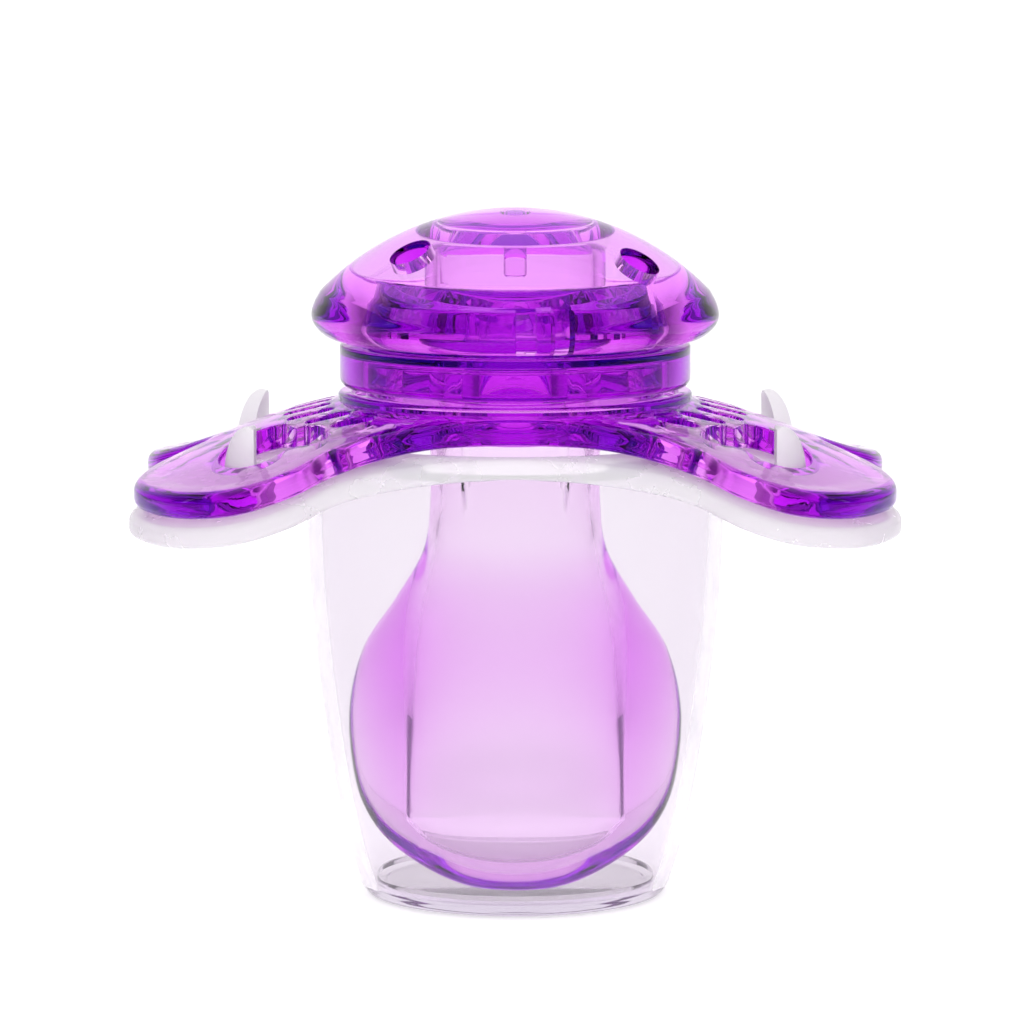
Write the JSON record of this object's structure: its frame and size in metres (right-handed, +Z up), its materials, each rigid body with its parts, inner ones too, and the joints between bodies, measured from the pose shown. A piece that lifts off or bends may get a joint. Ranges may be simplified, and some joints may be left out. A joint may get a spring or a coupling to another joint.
{
  "type": "baby soother with protective cap",
  "caption": "Clear tinted soother with a butterfly shield, domed knob and soft teat, standing in a frosted push-on cap.",
  "frame": {"origin": "centre of the cap's flat base", "axes": "+Z up from the cap towards the knob, +X along the shield's wings, -Y towards the front of the soother"},
  "size_m": [0.0476, 0.0328, 0.0433],
  "materials": {
    "cap_plastic": "frosted natural polypropylene, slightly milky",
    "shield_plastic": "clear violet plastic, polished",
    "teat_silicone": "clear violet-tinted silicone, smooth",
    "knob_plastic": "clear violet plastic, polished"
  },
  "bodies": {
    "cap": {"cap": "cap_plastic"},
    "soother": {"shield": "shield_plastic", "teat": "teat_silicone", "teat_plug": "knob_plastic", "knob_collar": "knob_plastic", "knob_dome": "knob_plastic"}
  },
  "joints": [
    {"name": "soother_lift", "type": "slide", "parent": "cap", "child": "soother", "axis": [0, 0, 1], "range_m": [0, 0.03]}
  ]
}
